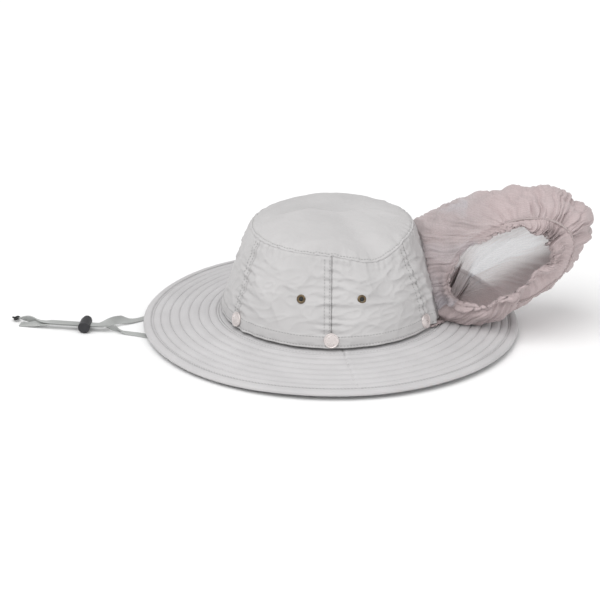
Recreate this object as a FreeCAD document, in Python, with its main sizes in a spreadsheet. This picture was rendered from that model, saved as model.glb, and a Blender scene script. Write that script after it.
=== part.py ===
import FreeCAD, Part
import Sketcher
import math
import os

# A wide-brimmed cloth hat with an insect veil, standing on its rim.
# Origin: centre of the head opening, level with the foot of the sweatband.
# +Z is up, -X is the wearer's front, +X the back, where the veil is drawn out, and -Y the wearer's left.

V = FreeCAD.Vector
UP = V(0, 0, 1)

# Driving dimensions in millimetres and degrees.
DIMENSIONS = {
    # head opening, lining and outer crown
    "head_radius": 90.7,
    "sweatband_thick": 1.0,
    "sweatband_height": 22.0,
    "lining_thick": 1.0,
    "lining_foot_radius": 96.2,
    "lining_knee_radius": 92.6,
    "lining_top_radius": 80.0,
    "lining_top_height": 60.0,
    "panel_thick": 1.4,
    "hem_radius": 101.6,
    "hem_height": 0.5,
    "knee_radius": 96.5,
    "knee_height": 24.0,
    "seam_radius": 76.0,
    "seam_height": 78.5,
    "panel_angle": 59.7,
    "tip_rise": 14.0,
    "tip_thick": 1.2,
    # brim, measured on its upper face
    "brim_inner_radius": 92.0,
    "brim_inner_height": -1.1,
    "brim_radius": 174.2,
    "brim_rim_height": -16.0,
    "cloth_thick": 1.0,
    "stiffener_thick": 1.2,
    "binding_thick": 0.8,
    "binding_width": 7.0,
    # snap fasteners, on a line square to the crown
    "snap_height": 7.5,
    "snap_cap_radius": 7.0,
    "snap_cap_thick": 2.0,
    "snap_hole_radius": 6.3,
    "socket_radius": 5.8,
    "socket_bore_radius": 2.2,
    "stud_flange_radius": 5.2,
    "stud_head_radius": 1.9,
    # eyelets
    "eyelet_height": 42.6,
    "eyelet_angle": 18.0,
    "eyelet_flange_radius": 4.3,
    "eyelet_barrel_radius": 2.5,
    "eyelet_bore_radius": 1.8,
    # chin strap and its cord lock
    "strap_width": 8.0,
    "strap_thick": 1.0,
    "tab_length": 10.0,
    "tab_thick": 1.4,
    "tab_reach": 98.0,
    "tab_height": -8.5,
    "lock_radius": 5.5,
    "lock_length": 15.0,
    "lock_bore_radius": 4.3,
    "lock_floor": 1.2,
    "plunger_radius": 4.1,
    "plunger_head_radius": 4.6,
    "plunger_head_length": 4.2,
    "slot_width": 8.8,
    "slot_height": 2.8,
    "spring_wire_radius": 0.22,
    "knot_radius": 3.0,
    "knot_cord_radius": 1.1,
    # veil
    "veil_long_radius": 82.0,
    "veil_side_radius": 51.0,
    "veil_wall": 1.2,
    "veil_tilt": 27.0,
    "mouth_depth": 33.0,
    "casing_radius": 3.6,
    "casing_bore_radius": 2.5,
    "elastic_radius": 1.8,
    "root_angle": 54.0,
    "root_inner_radius": 96.7,
    "root_outer_radius": 103.5,
}

SNAP_SEAMS = {  # where the crown panels meet, by the angle from +X
    "back_right": 30,
    "right": 90,
    "front_right": 150,
    "front_left": 210,
    "left": 270,
    "back_left": 330,
}
PANELS = {
    "back": 0,
    "back_right": 60,
    "front_right": 120,
    "front": 180,
    "front_left": 240,
    "back_left": 300,
}
EYELETS = {
    "front_left": (270, -1),
    "back_left": (270, 1),
    "back_right": (90, -1),
    "front_right": (90, 1),
}
# The cord lock: the middle of its strap slot seen from above, and how far its axis is turned from +Y.
LOCK_X, LOCK_Y, LOCK_YAW = -229.0, -9.6, -8.0
LOCK_FOOT_TO_SLOT = 8.8
# Where the strap runs straight for the lock to slide on, as distances from the slot towards the knot.
LOCK_RUN = (-16.0, -9.0, 28.0, 35.0)
PLUNGER_GAP = 1.7
VEIL_CENTRE = V(165.0, 8.0, 57.0)

doc = FreeCAD.newDocument("veil_hat")
sheet = doc.addObject("Spreadsheet::Sheet", "dims")
for row, (alias, number) in enumerate(DIMENSIONS.items(), 1):
    sheet.set(f"A{row}", alias)
    sheet.set(f"B{row}", str(number))
    sheet.setAlias(f"B{row}", alias)
doc.recompute()

parts = []


def cell(alias):
    return float(getattr(sheet, alias))


def amount(expression):
    """The number that an expression on the sheet's cells comes to."""
    found = sheet.evalExpression(expression)
    return float(getattr(found, "Value", found))


def dims(text):
    """An expression with each @name read from the sheet, as seen from another object."""
    return text.replace("@", "dims.")


def local(text):
    """The same expression, as the sheet itself reads it."""
    return text.replace("@", "")


def keep(thing, label):
    """Marks an object as a sub-part under the name of its node."""
    thing.Label = label
    parts.append(thing)
    return thing


def plane_of(body, role):
    return next(f for f in body.Origin.OriginFeatures if f.Role == role)


def turned_body(name, outline, angle=None, placement=None):
    """A body turned about its own Z axis from an outline of (radius, height) expressions."""
    body = doc.addObject("PartDesign::Body", name)
    sketch = body.newObject("Sketcher::SketchObject", f"{name}_sketch")
    sketch.AttachmentSupport = [(plane_of(body, "XZ_Plane"), "")]
    sketch.MapMode = "FlatFace"
    spots = [V(amount(local(x)), amount(local(y)), 0) for x, y in outline]
    for start, end in zip(spots, spots[1:] + spots[:1]):
        sketch.addGeometry(Part.LineSegment(start, end), False)
    count = len(spots)
    for i in range(count):
        sketch.addConstraint(Sketcher.Constraint("Coincident", i, 2, (i + 1) % count, 1))
    for i, (x, y) in enumerate(outline):
        for kind, value, text in (("DistanceX", spots[i].x, x), ("DistanceY", spots[i].y, y)):
            k = sketch.addConstraint(Sketcher.Constraint(kind, -1, 1, i, 1, value))
            sketch.setExpression(f"Constraints[{k}]", dims(text))
    turn = body.newObject("PartDesign::Revolution", f"{name}_turn")
    turn.Profile = sketch
    turn.ReferenceAxis = (sketch, ["V_Axis"])
    turn.Midplane = angle is not None
    turn.Angle = 360
    if angle is not None:
        turn.setExpression("Angle", dims(angle))
    body.Tip = turn
    if placement is not None:
        body.Placement = placement
    return body


def cylinder(name, radius, length, placement):
    thing = doc.addObject("Part::Cylinder", name)
    thing.setExpression("Radius", dims(radius))
    thing.setExpression("Height", dims(length))
    thing.Placement = placement
    return thing


def cut(name, base, tools):
    """Base less each tool in turn."""
    for i, tool in enumerate(tools):
        step = doc.addObject("Part::Cut", name if i == len(tools) - 1 else f"{name}_cut_{i}")
        step.Base, step.Tool = base, tool
        base = step
    return base


def round_z(angle):
    return FreeCAD.Rotation(UP, angle)


def outward(angle, radius, height, lean):
    """At an angle round the hat, with local Z pointing out of the crown and up by lean degrees."""
    spot = round_z(angle).multVec(V(radius, 0, height))
    return FreeCAD.Placement(spot, round_z(angle) * FreeCAD.Rotation(V(0, 1, 0), 90 - lean))


# ---- brim -------------------------------------------------------------------------------------
BRIM_SLOPE = "(@brim_rim_height - @brim_inner_height) / (@brim_radius - @brim_inner_radius)"


def brim_face(radius, below="0"):
    """The height of the brim's upper face at a radius, less a depth."""
    return f"@brim_inner_height + ({radius} - @brim_inner_radius) * {BRIM_SLOPE} - ({below})"


def brim_layer(label, top, bottom):
    inner, outer = "@brim_inner_radius", "@brim_radius"
    outline = [
        (inner, brim_face(inner, bottom)),
        (outer, brim_face(outer, bottom)),
        (outer, brim_face(outer, top)),
        (inner, brim_face(inner, top)),
    ]
    return keep(turned_body(label, outline), label)


def make_brim():
    first = "@cloth_thick"
    second = "@cloth_thick + @stiffener_thick"
    third = "2 * @cloth_thick + @stiffener_thick"
    brim_layer("brim_top", "0", first)
    brim_layer("brim_stiffener", first, second)
    brim_layer("brim_bottom", second, third)
    inner, outer = "@brim_radius - @binding_width", "@brim_radius"
    outside = "@brim_radius + @binding_thick"
    outline = [
        (inner, brim_face(inner, "-@binding_thick")),
        (outside, brim_face(outer, "-@binding_thick")),
        (outside, brim_face(outer, f"{third} + @binding_thick")),
        (inner, brim_face(inner, f"{third} + @binding_thick")),
        (inner, brim_face(inner, third)),
        (outer, brim_face(outer, third)),
        (outer, brim_face(outer, "0")),
        (inner, brim_face(inner, "0")),
    ]
    keep(turned_body("brim_binding", outline), "brim_binding")


# ---- crown ------------------------------------------------------------------------------------
def crown_radius(height):
    """The outer crown's radius at a height, its lean in degrees there."""
    if height < cell("knee_height"):
        low, high = ("hem_radius", "hem_height"), ("knee_radius", "knee_height")
    else:
        low, high = ("knee_radius", "knee_height"), ("seam_radius", "seam_height")
    run = cell(low[0]) - cell(high[0])
    rise = cell(high[1]) - cell(low[1])
    return cell(low[0]) - run * (height - cell(low[1])) / rise, math.degrees(math.atan2(run, rise))


def on_crown(angle, height):
    radius, lean = crown_radius(height)
    return outward(angle, radius, height, lean)


def make_head_band():
    inner, outer = "@head_radius", "@head_radius + @sweatband_thick"
    outline = [(inner, "0"), (outer, "0"), (outer, "@sweatband_height"), (inner, "@sweatband_height")]
    keep(turned_body("sweatband", outline), "sweatband")
    foot = brim_face("@lining_foot_radius - @lining_thick", "-0.1")
    outline = [
        ("@lining_foot_radius - @lining_thick", foot),
        ("@lining_foot_radius", foot),
        ("@lining_knee_radius", "@knee_height"),
        ("@lining_top_radius", "@lining_top_height"),
        ("@lining_top_radius - @lining_thick", "@lining_top_height"),
        ("@lining_knee_radius - @lining_thick", "@knee_height"),
    ]
    keep(turned_body("crown_lining", outline), "crown_lining")


def make_crown_panels():
    outline = [
        ("@hem_radius", "@hem_height"),
        ("@knee_radius", "@knee_height"),
        ("@seam_radius", "@seam_height"),
        ("@seam_radius - @panel_thick", "@seam_height"),
        ("@knee_radius - @panel_thick", "@knee_height"),
        ("@hem_radius - @panel_thick", "@hem_height"),
    ]
    for name, middle in PANELS.items():
        label = f"crown_panel_{name}"
        panel = turned_body(f"{label}_cloth", outline, "@panel_angle", FreeCAD.Placement(V(), round_z(middle)))
        holes = []
        for side in (-30, 30):
            at = on_crown(middle + side, cell("snap_height"))
            at = at.multiply(FreeCAD.Placement(V(0, 0, -4), FreeCAD.Rotation()))
            holes.append(cylinder(f"{label}_snap_hole", "@snap_hole_radius", "8", at))
        for seam, way in EYELETS.values():
            angle = seam + way * cell("eyelet_angle")
            if abs((angle - middle + 180) % 360 - 180) < 30:
                at = on_crown(angle, cell("eyelet_height"))
                at = at.multiply(FreeCAD.Placement(V(0, 0, -4), FreeCAD.Rotation()))
                holes.append(cylinder(f"{label}_eyelet_hole", "@eyelet_barrel_radius + 0.1", "8", at))
        keep(cut(f"{label}_cut", panel, holes), label)


def make_crown_tip():
    """A shallow dome of one round piece of cloth."""
    ball = "(@seam_radius ^ 2 + @tip_rise ^ 2) / (2 * @tip_rise)"
    centre = V(0, 0, cell("seam_height") + 0.1 + cell("tip_rise") - amount(local(ball)))
    outer = doc.addObject("Part::Sphere", "tip_outer")
    outer.setExpression("Radius", dims(ball))
    outer.setExpression("Angle1", dims(f"asin(({ball} - @tip_rise) / ({ball}))"))
    inner = doc.addObject("Part::Sphere", "tip_inner")
    inner.setExpression("Radius", dims(f"{ball} - @tip_thick"))
    outer.Placement.Base = centre
    inner.Placement.Base = centre
    keep(cut("tip", outer, [inner]), "crown_tip")


def make_snaps():
    """Each cap holds the outer crown's hem and its socket; each stud stands on the lining."""
    flange_low, flange_high, head_top = "-4.0", "-3.3", "-1.6"
    cap = [
        ("0", "0.3 + @snap_cap_thick"),
        ("0", "-0.8"),
        ("@socket_bore_radius", "-0.8"),
        ("@socket_bore_radius", "-2.8"),
        ("@socket_radius", "-2.8"),
        ("@socket_radius", "-0.2"),
        ("3", "-0.2"),
        ("3", "0.3"),
        ("@snap_cap_radius", "0.3"),
        ("@snap_cap_radius", "@snap_cap_thick - 0.5"),
        ("@snap_cap_radius - 1.2", "0.3 + @snap_cap_thick"),
    ]
    stud = [
        ("0", head_top),
        ("0", flange_low),
        ("@stud_flange_radius", flange_low),
        ("@stud_flange_radius", flange_high),
        ("@stud_head_radius - 0.4", flange_high),
        ("@stud_head_radius", "-2.2"),
        ("@stud_head_radius", head_top),
    ]
    for name, angle in SNAP_SEAMS.items():
        at = on_crown(angle, cell("snap_height"))
        keep(turned_body(f"cap_{name}", cap, placement=at), f"snap_cap_{name}")
        keep(turned_body(f"stud_{name}", stud, placement=at), f"snap_stud_{name}")


def make_eyelets():
    eyelet = [
        ("@eyelet_bore_radius", "-2.3"),
        ("@eyelet_barrel_radius", "-2.3"),
        ("@eyelet_barrel_radius", "0.2"),
        ("@eyelet_flange_radius", "0.2"),
        ("@eyelet_flange_radius - 0.5", "1.0"),
        ("@eyelet_bore_radius + 0.3", "1.0"),
        ("@eyelet_bore_radius", "0.7"),
    ]
    washer = [
        ("@eyelet_barrel_radius + 0.05", "-2.2"),
        ("@eyelet_flange_radius", "-2.2"),
        ("@eyelet_flange_radius", "-1.6"),
        ("@eyelet_barrel_radius + 0.05", "-1.6"),
    ]
    for name, (seam, way) in EYELETS.items():
        at = on_crown(seam + way * cell("eyelet_angle"), cell("eyelet_height"))
        keep(turned_body(f"eyelet_{name}_metal", eyelet, placement=at), f"eyelet_{name}")
        keep(turned_body(f"washer_{name}_metal", washer, placement=at), f"eyelet_washer_{name}")


# ---- chin strap -------------------------------------------------------------------------------
def floor_height():
    """The surface that the hat and its strap lie on: the rim clears the strap by 0.2 mm."""
    rim = amount(local(brim_face("@brim_radius", "2 * @cloth_thick + @stiffener_thick + @binding_thick")))
    return rim - cell("strap_thick") - 0.2


FLOOR = floor_height()
ON_FLOOR = FLOOR + cell("strap_thick") / 2
LOCK_AXIS = round_z(LOCK_YAW).multVec(V(0, 1, 0))
STRAP_WAY = round_z(LOCK_YAW).multVec(V(-1, 0, 0))
LOCK_MIDDLE = V(LOCK_X, LOCK_Y, FLOOR + cell("lock_radius"))
KNOT = V(-297.6, 13.0, FLOOR + cell("knot_cord_radius"))
TAB_X = -17.0


def tab_end(side):
    """Where a leg of the strap leaves the forward end of its tab, under the brim."""
    ahead = TAB_X - cell("tab_length") - 0.4
    return V(ahead, side * cell("tab_reach"), cell("tab_height") + cell("tab_thick") / 2)


def strap_routes():
    """The two legs of the strap from the tabs, under the rim, through the lock and to the knot."""
    above = V(0, 0, cell("strap_thick") / 2 + 0.15)
    through = [LOCK_MIDDLE + STRAP_WAY * run for run in LOCK_RUN]
    left = [
        tab_end(-1),
        V(-46, -99, -10.0),
        V(-66, -97, -14.5),
        V(-88, -84, -19.2),
        V(-114, -66, ON_FLOOR),
        V(-143, -46, ON_FLOOR),
        V(-170, -23.5, ON_FLOOR),
        V(-198, -14.5, ON_FLOOR),
        *[spot - above for spot in through],
        V(-278, -1.5, ON_FLOOR + 0.6),
        V(-290.5, 2.0, ON_FLOOR),
    ]
    right = [
        tab_end(1),
        V(-46, 99, -10.0),
        V(-66, 97, -14.5),
        V(-89, 86, -19.2),
        V(-112, 70, ON_FLOOR),
        V(-136, 49, ON_FLOOR),
        V(-160, 30, ON_FLOOR),
        V(-182, 14, ON_FLOOR),
        V(-200, 0.5, ON_FLOOR + 3.2),
        *[spot + above for spot in through],
        V(-278, 2.5, ON_FLOOR + 2.0),
        V(-290.5, 8.5, ON_FLOOR + 1.6),
    ]
    return {"left": left, "right": right}


def rounded_path(spots):
    """Straight runs through the spots, joined by tangent arcs; gives the wire and the arcs' radii."""
    edges, radii, start = [], [], spots[0]
    for before, spot, after in zip(spots, spots[1:], spots[2:]):
        back, ahead = (before - spot), (after - spot)
        reach = 0.45 * min(back.Length, ahead.Length)
        turn = math.pi - back.getAngle(ahead)
        if turn < 0.001:  # the run goes straight on here
            continue
        back.normalize()
        ahead.normalize()
        radius = reach / math.tan(turn / 2)
        middle = (back + ahead).normalize()
        centre = spot + middle * (radius / math.cos(turn / 2))
        enter, leave = spot + back * reach, spot + ahead * reach
        edges.append(Part.LineSegment(start, enter).toShape())
        edges.append(Part.Arc(enter, centre - middle * radius, leave).toShape())
        radii.append(radius)
        start = leave
    edges.append(Part.LineSegment(start, spots[-1]).toShape())
    return Part.Wire(edges), radii


def make_strap_leg(name, spots):
    """A flat tape whose width stays level all the way."""
    path, radii = rounded_path(spots)
    ahead = (spots[1] - spots[0]).normalize()
    side = UP.cross(ahead).normalize() * (cell("strap_width") / 2)
    rise = ahead.cross(side).normalize() * (cell("strap_thick") / 2)
    corners = [spots[0] + side + rise, spots[0] - side + rise, spots[0] - side - rise, spots[0] + side - rise]
    sweep = Part.BRepOffsetAPI.MakePipeShell(path)
    sweep.setBiNormalMode(UP)
    sweep.add(Part.makePolygon(corners + corners[:1]))
    sweep.build()
    sweep.makeSolid()
    shape = sweep.shape()
    if shape.Volume < 0:
        shape.reverse()
    expected = path.Length * cell("strap_width") * cell("strap_thick")
    print(f"strap_leg_{name}: length {path.Length:.1f}, radii", [round(r) for r in radii])
    print(f"  volume {shape.Volume:.0f}, section times length {expected:.0f}")
    leg = doc.addObject("Part::Feature", f"leg_{name}")
    leg.Shape = shape
    keep(leg, f"strap_leg_{name}")


def make_strap_tabs():
    """The doubled end of each leg, sewn flat under the brim beside the head opening."""
    for name, side in (("left", -1), ("right", 1)):
        tab = doc.addObject("Part::Box", f"tab_{name}")
        tab.setExpression("Length", dims("@tab_length"))
        tab.setExpression("Width", dims("@strap_width"))
        tab.setExpression("Height", dims("@tab_thick"))
        corner = V(TAB_X - cell("tab_length"), side * cell("tab_reach") - cell("strap_width") / 2, cell("tab_height"))
        tab.Placement.Base = corner
        keep(tab, f"strap_tab_{name}")


def make_cord_lock():
    """A barrel with a strap slot across it, and a sprung plunger whose own slot grips the strap."""
    turn = FreeCAD.Rotation(UP, LOCK_AXIS)
    foot = LOCK_MIDDLE - LOCK_AXIS * LOCK_FOOT_TO_SLOT
    at = FreeCAD.Placement(foot, turn)
    barrel = [
        ("0", "0"),
        ("@lock_radius - 0.6", "0"),
        ("@lock_radius", "0.6"),
        ("@lock_radius", "@lock_length"),
        ("@lock_bore_radius", "@lock_length"),
        ("@lock_bore_radius", "@lock_floor"),
        ("0", "@lock_floor"),
    ]
    stem_top = f"@lock_length + {PLUNGER_GAP}"
    plunger = [
        ("0", "3.1"),
        ("@plunger_radius", "3.1"),
        ("@plunger_radius", stem_top),
        ("@plunger_head_radius", stem_top),
        ("@plunger_head_radius", f"{stem_top} + @plunger_head_length - 0.8"),
        ("@plunger_head_radius - 0.8", f"{stem_top} + @plunger_head_length"),
        ("0", f"{stem_top} + @plunger_head_length"),
    ]
    slots = {}
    for name, shift in (("barrel", 0.0), ("plunger", 0.25)):
        slot = doc.addObject("Part::Box", f"{name}_slot")
        slot.Length = 40
        slot.setExpression("Width", dims("@slot_width"))
        slot.setExpression("Height", dims("@slot_height"))
        corner = V(-20, shift - cell("slot_width") / 2, -cell("slot_height") / 2)
        slot.Placement = FreeCAD.Placement(LOCK_MIDDLE + round_z(LOCK_YAW).multVec(corner), round_z(LOCK_YAW))
        slots[name] = slot
    keep(cut("lock_barrel", turned_body("barrel_body", barrel, placement=at), [slots["barrel"]]), "cord_lock_barrel")
    stem = turned_body("plunger_body", plunger, placement=at)
    keep(cut("lock_plunger", stem, [slots["plunger"]]), "cord_lock_plunger")
    wire = cell("spring_wire_radius")
    low, high = cell("lock_floor") + wire + 0.05, 3.1 - wire - 0.05
    helix = Part.makeHelix((high - low) / 2, high - low, 3.0)
    section = Part.Wire(Part.Circle(V(3.0, 0, 0), V(0, 1, 0), wire).toShape())
    coil = Part.Wire(helix.Edges).makePipeShell([section], True, True)
    spring = doc.addObject("Part::Feature", "spring")
    spring.Shape = coil
    spring.Placement = at.multiply(FreeCAD.Placement(V(0, 0, low), FreeCAD.Rotation()))
    keep(spring, "cord_lock_spring")


def make_strap_knot():
    knot = doc.addObject("Part::Torus", "knot")
    knot.setExpression("Radius1", dims("@knot_radius"))
    knot.setExpression("Radius2", dims("@knot_cord_radius"))
    knot.Placement.Base = KNOT
    keep(knot, "strap_end_knot")


# ---- veil -------------------------------------------------------------------------------------
VEIL_TURN = FreeCAD.Rotation(V(0, 1, 0), -cell("veil_tilt"))


def mouth_scale():
    """How much narrower the egg-shaped bag is at its mouth than at its middle."""
    return math.sqrt(1 - (cell("mouth_depth") / cell("veil_side_radius")) ** 2)


def egg(name, less):
    """A solid egg, round about its long axis, smaller all over by less."""
    long_end = V(cell("veil_long_radius") - less, 0, 0)
    side_end = V(0, 0, cell("veil_side_radius") - less)
    half = Part.ArcOfEllipse(Part.Ellipse(long_end, side_end, V()), 0, math.pi).toShape()
    axis = Part.LineSegment(-long_end, long_end).toShape()
    thing = doc.addObject("Part::Feature", name)
    thing.Shape = Part.Face(Part.Wire([half, axis])).revolve(V(), V(1, 0, 0), 360)
    thing.Placement = FreeCAD.Placement(VEIL_CENTRE, VEIL_TURN)
    return thing


def hat_room():
    """The outer shape of the hat with room to spare, which the veil stays out of."""
    room = 1.5
    outline = [
        ("0", "-60"),
        ("@brim_radius + 3", "-60"),
        ("@brim_radius + 3", brim_face("@brim_radius + 3", f"-@binding_thick - {room}")),
        (f"@hem_radius + {room}", brim_face("@hem_radius", f"-@binding_thick - {room}")),
        (f"@hem_radius + {room}", "@hem_height"),
        (f"@knee_radius + {room}", "@knee_height"),
        (f"@seam_radius + {room}", "@seam_height"),
        ("0", f"@seam_height + @tip_rise + {room}"),
    ]
    return turned_body("hat_room", outline)


def oval_ring(radius):
    """A round bar along the oval of the bag's mouth."""
    scale = mouth_scale()
    middle = VEIL_CENTRE - V(0, cell("mouth_depth") + cell("casing_radius") + 0.3, 0)
    long_way = VEIL_TURN.multVec(V(1, 0, 0))
    high_way = VEIL_TURN.multVec(V(0, 0, 1))
    long_end = middle + long_way * (cell("veil_long_radius") * scale)
    high_end = middle + high_way * (cell("veil_side_radius") * scale)
    oval = Part.Wire(Part.Ellipse(long_end, high_end, middle).toShape())
    section = Part.Wire(Part.Circle(long_end, high_way, radius).toShape())
    return oval.makePipeShell([section], True, True)


def make_veil():
    mouth = doc.addObject("Part::Box", "mouth_side")
    mouth.Length, mouth.Width, mouth.Height = 400, 100, 400
    mouth.Placement.Base = VEIL_CENTRE - V(200, 100 + cell("mouth_depth"), 200)
    bag = cut("bag", egg("egg_outer", 0), [egg("egg_inner", cell("veil_wall")), mouth, hat_room()])
    keep(bag, "veil_net")
    casing = doc.addObject("Part::Feature", "casing")
    casing.Shape = oval_ring(cell("casing_radius")).cut(oval_ring(cell("casing_bore_radius")))
    keep(casing, "veil_hem_casing")
    elastic = doc.addObject("Part::Feature", "elastic")
    elastic.Shape = oval_ring(cell("elastic_radius"))
    keep(elastic, "veil_hem_elastic")
    inner, outer = "@root_inner_radius", "@root_outer_radius"
    outline = [(inner, "-1"), (outer, "-1"), (outer, "-0.2"), (inner, "-0.2")]
    keep(turned_body("root_tape", outline, "@root_angle"), "veil_root_tape")


def check_and_write():
    doc.recompute()
    failed = [o.Name for o in doc.Objects if "Invalid" in o.State or "Error" in o.State]
    if failed:
        raise RuntimeError(f"objects that failed: {failed}")
    for thing in parts:
        if thing.Shape.isNull() or not thing.Shape.isValid() or not thing.Shape.Solids:
            raise RuntimeError(f"{thing.Label} has no valid solid")
    os.makedirs("parts", exist_ok=True)
    for thing in parts:
        thing.Shape.exportStep(f"parts/{thing.Label}.step")
        box = thing.Shape.BoundBox
        print(f"{thing.Label}: {len(thing.Shape.Solids)} solid, {thing.Shape.Volume / 1000:.2f} cm3,",
              f"x {box.XMin:.1f}..{box.XMax:.1f} y {box.YMin:.1f}..{box.YMax:.1f} z {box.ZMin:.1f}..{box.ZMax:.1f}")


make_brim()
make_head_band()
make_crown_panels()
make_crown_tip()
make_snaps()
make_eyelets()
make_strap_tabs()
for leg_name, route in strap_routes().items():
    make_strap_leg(leg_name, route)
make_cord_lock()
make_strap_knot()
make_veil()
check_and_write()
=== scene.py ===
import math

import bmesh
import bpy
import numpy as np
from mathutils import Matrix, Vector, noise


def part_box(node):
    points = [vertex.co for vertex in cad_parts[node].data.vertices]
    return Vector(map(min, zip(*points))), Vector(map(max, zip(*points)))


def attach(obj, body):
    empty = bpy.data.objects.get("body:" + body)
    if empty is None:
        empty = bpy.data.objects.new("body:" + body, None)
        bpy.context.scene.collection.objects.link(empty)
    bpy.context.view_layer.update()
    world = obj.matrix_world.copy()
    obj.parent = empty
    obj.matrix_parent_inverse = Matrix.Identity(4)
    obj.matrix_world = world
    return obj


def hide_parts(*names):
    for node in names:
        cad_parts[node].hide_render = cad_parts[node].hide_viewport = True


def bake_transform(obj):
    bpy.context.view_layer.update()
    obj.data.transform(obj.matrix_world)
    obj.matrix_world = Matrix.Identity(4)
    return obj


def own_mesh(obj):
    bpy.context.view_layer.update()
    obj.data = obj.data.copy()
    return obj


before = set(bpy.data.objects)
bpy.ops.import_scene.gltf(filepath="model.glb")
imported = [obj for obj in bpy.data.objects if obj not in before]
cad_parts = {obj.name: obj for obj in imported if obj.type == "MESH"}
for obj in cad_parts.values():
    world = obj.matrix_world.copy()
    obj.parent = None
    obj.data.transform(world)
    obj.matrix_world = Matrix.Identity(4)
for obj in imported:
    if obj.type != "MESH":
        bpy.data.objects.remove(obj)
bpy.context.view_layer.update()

# The script works in millimetres in the CAD frame, and meshes are scaled to metres as they are made.
MM = 0.001
TAU = 2 * math.pi

# ---- sizes of the hat, from the frame where it shows them ------------------------------------
HEM_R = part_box("crown_panel_back")[1].x / MM
SEAM_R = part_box("crown_tip")[1].x / MM
SEAM_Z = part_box("crown_tip")[0].z / MM
TIP_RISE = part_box("crown_tip")[1].z / MM - SEAM_Z
HEM_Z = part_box("crown_panel_back")[0].z / MM
BRIM_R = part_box("brim_top")[1].x / MM
BRIM_TOP_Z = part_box("brim_top")[1].z / MM
FLOOR_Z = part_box("strap_leg_left")[0].z / MM
HEAD_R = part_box("sweatband")[1].x / MM
BRIM_INNER_R = 92.0
BRIM_DROP = 14.9
# Radius and height of the plain crown's outside at its foot, its knee and its top seam.
CROWN_FOOT, CROWN_KNEE, CROWN_TOP = (101.6, 0.5), (96.5, 24.0), (76.0, 78.5)
LINING_HEIGHTS, LINING_RADII = (-1.4, 24, 60), (96.2, 92.6, 80.0)
# The slack cloth's outside before its folds, seams and puckers are added.
CROWN_HEIGHTS = (0.0, 10.0, 24.0, 48.0, 66.0, 79.0)
CROWN_RADII = (101.7, 100.2, 96.9, 88.2, 80.9, 75.9)
SEAMS = [math.radians(a) for a in (30, 90, 150, 210, 270, 330)]
SNAP_Z, EYELET_Z, EYELET_ANGLE = 7.5, 42.6, 18
HEM_STITCHES = (2.6, 10.8)
SEAM_ROWS = (-1.8, -6.6)
SEAM_STITCH = 2.2
STITCH_RINGS = (168.2, 165.6, 158.7, 150.2, 141.3, 132.4, 123.2, 113.9, 106.5, 104.5)


# ---- materials --------------------------------------------------------------------------------
WEAVE_SCALE, WEAVE_DEPTH = 2600.0 / 6.0, 0.00024


def new_material(name, colour, roughness, **sockets):
    material = bpy.data.materials.new(name)
    material.use_nodes = True
    shader = material.node_tree.nodes["Principled BSDF"]
    shader.inputs["Base Color"].default_value = (*colour, 1)
    shader.inputs["Roughness"].default_value = roughness
    for socket, value in sockets.items():
        shader.inputs[socket].default_value = value
    return material, material.node_tree, shader


def add_node(tree, kind, **settings):
    node = tree.nodes.new(kind)
    for key, value in settings.items():
        if key in node.inputs:
            node.inputs[key].default_value = value
        else:
            setattr(node, key, value)
    return node


def wire(tree, source, output, target, socket):
    tree.links.new(source.outputs[output], target.inputs[socket])


def mottled(tree, shader, colour, share, scale):
    """The base colour, a little lighter and darker in soft patches."""
    place = add_node(tree, "ShaderNodeTexCoord")
    cloud = add_node(tree, "ShaderNodeTexNoise", Scale=scale, Detail=4.0)
    ramp = add_node(tree, "ShaderNodeValToRGB")
    low, high = ramp.color_ramp.elements
    low.position, high.position = 0.3, 0.7
    low.color = (*[c * (1 - share) for c in colour], 1)
    high.color = (*[min(1, c * (1 + share)) for c in colour], 1)
    wire(tree, place, "Object", cloud, "Vector")
    wire(tree, cloud, "Fac", ramp, "Fac")
    wire(tree, ramp, "Color", shader, "Base Color")
    return place


def cloth_material(name, colour, roughness=0.72, mottle=0.05):
    """A close plain weave: two crossed sets of fine ridges over soft unevenness."""
    sheen = {"Sheen Weight": 0.15, "Sheen Roughness": 0.4}
    material, tree, shader = new_material(name, colour, roughness, **sheen)
    place = mottled(tree, shader, colour, mottle, 28.0)
    ridges = [
        add_node(tree, "ShaderNodeTexWave", bands_direction=way, Scale=WEAVE_SCALE, Distortion=0.6)
        for way in ("DIAGONAL", "Z")
    ]
    crinkle = add_node(tree, "ShaderNodeTexNoise", Scale=190.0, Detail=5.0)
    both = add_node(tree, "ShaderNodeMath", operation="ADD")
    total = add_node(tree, "ShaderNodeMath", operation="ADD")
    bump = add_node(tree, "ShaderNodeBump", Strength=0.35, Distance=WEAVE_DEPTH)
    for node in (*ridges, crinkle):
        wire(tree, place, "Object", node, "Vector")
    wire(tree, ridges[0], "Fac", both, 0)
    wire(tree, ridges[1], "Fac", both, 1)
    wire(tree, both, 0, total, 0)
    wire(tree, crinkle, "Fac", total, 1)
    wire(tree, total, 0, bump, "Height")
    wire(tree, bump, "Normal", shader, "Normal")
    return material


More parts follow.
